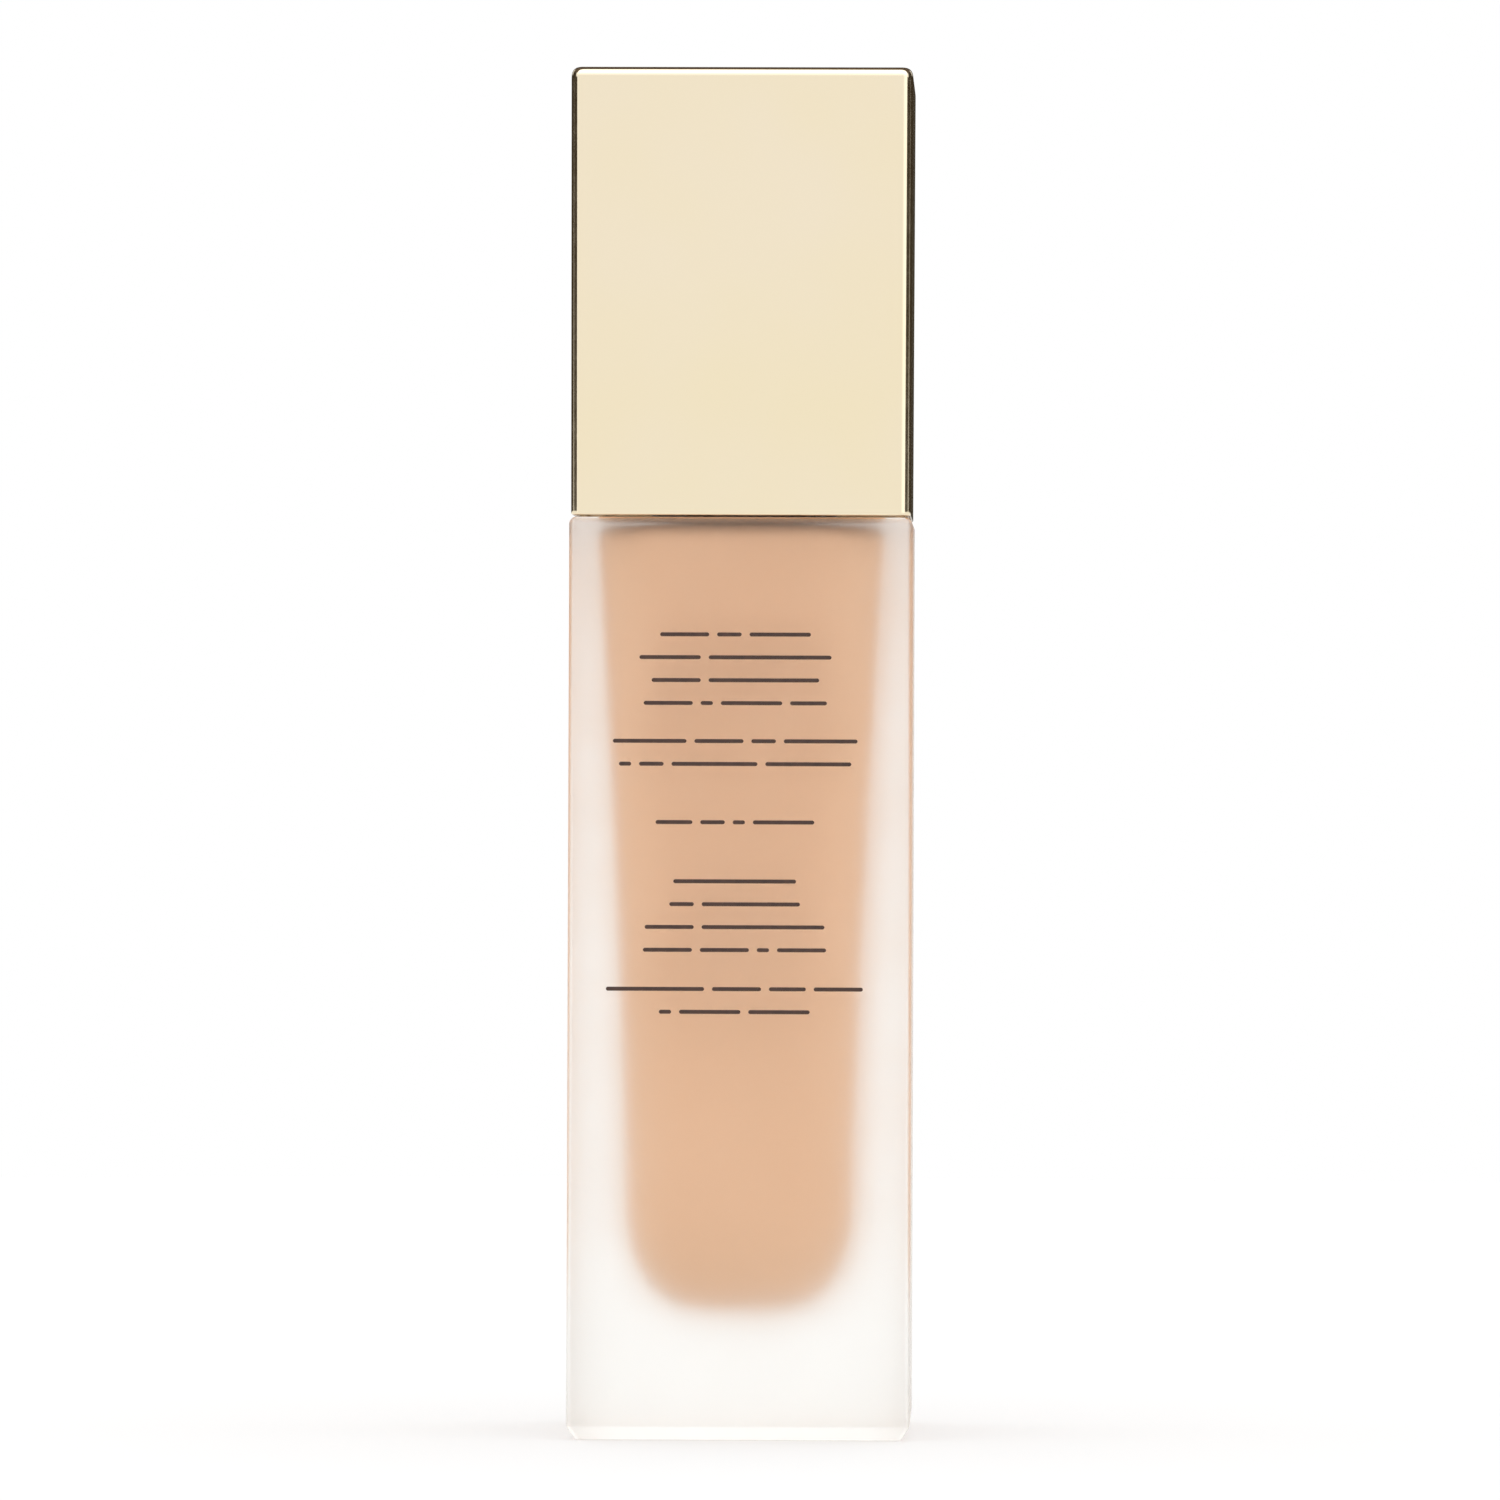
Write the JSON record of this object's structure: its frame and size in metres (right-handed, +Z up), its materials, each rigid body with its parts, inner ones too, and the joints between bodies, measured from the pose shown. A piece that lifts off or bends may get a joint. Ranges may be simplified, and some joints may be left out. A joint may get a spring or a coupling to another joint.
{
  "type": "foundation bottle",
  "caption": "Square heavy-walled frosted glass bottle of tinted liquid make-up, with a screw-on lotion pump under a lift-off square gold overcap.",
  "frame": {"origin": "centre of the bottle's base, on the surface it stands on", "axes": "+Z up along the bottle, -Y out of the face that the pump's spout points to"},
  "size_m": [0.0328, 0.0328, 0.131],
  "materials": {
    "frosted_glass": "satin",
    "foundation": "satin",
    "champagne_gold": "satin",
    "white_plastic": "satin",
    "natural_plastic": "satin",
    "gasket_foam": "matte",
    "spring_steel": "satin"
  },
  "bodies": {
    "bottle": {"glass_bottle": "frosted_glass", "foundation_liquid": "foundation"},
    "pump_body": {"pump_housing": "white_plastic", "dip_tube": "natural_plastic", "neck_gasket": "gasket_foam", "chaplet": "white_plastic", "return_spring": "spring_steel"},
    "inlet_valve": {"inlet_ball": "spring_steel"},
    "closure": {"screw_closure": "white_plastic", "collar_ferrule": "champagne_gold"},
    "plunger": {"pump_stem": "white_plastic", "stem_plug": "white_plastic"},
    "piston": {"piston": "natural_plastic"},
    "pump_head": {"actuator_core": "white_plastic", "actuator_shell": "champagne_gold", "nozzle_insert": "white_plastic"},
    "overcap": {"overcap_shell": "champagne_gold", "overcap_liner": "white_plastic"}
  },
  "joints": [
    {"name": "cap_lift", "type": "slide", "parent": "bottle", "child": "overcap", "axis": [0, 0, 1], "range_m": [0, 0.05]},
    {"name": "pump_lift", "type": "slide", "parent": "bottle", "child": "pump_body", "axis": [0, 0, 1], "range_m": [0, 0.00476]},
    {"name": "closure_turn", "type": "hinge", "parent": "pump_body", "child": "closure", "pos_m": [0, 0, 0.097], "axis": [0, 0, 1], "range_deg": [0, 540]},
    {"name": "ball_lift", "type": "slide", "parent": "pump_body", "child": "inlet_valve", "axis": [0, 0, 1], "range_m": [0, 0.0007]},
    {"name": "head_press", "type": "slide", "parent": "pump_body", "child": "plunger", "axis": [0, 0, -1], "range_m": [0, 0.0045], "stiffness_N_per_m": 1500, "springref_m": -0.003, "deforming": ["return_spring"]},
    {"name": "piston_slip", "type": "slide", "parent": "plunger", "child": "piston", "axis": [0, 0, 1], "range_m": [0, 0.0006]},
    {"name": "head_swivel", "type": "hinge", "parent": "plunger", "child": "pump_head", "pos_m": [0, 0, 0.1158], "axis": [0, 0, 1], "continuous": true}
  ],
  "couplings": [
    {"joint": "closure_turn", "follows": "pump_lift", "rad_per_m": 1979},
    {"joint": "piston_slip", "follows": "head_press", "ratio": 0.1333}
  ]
}
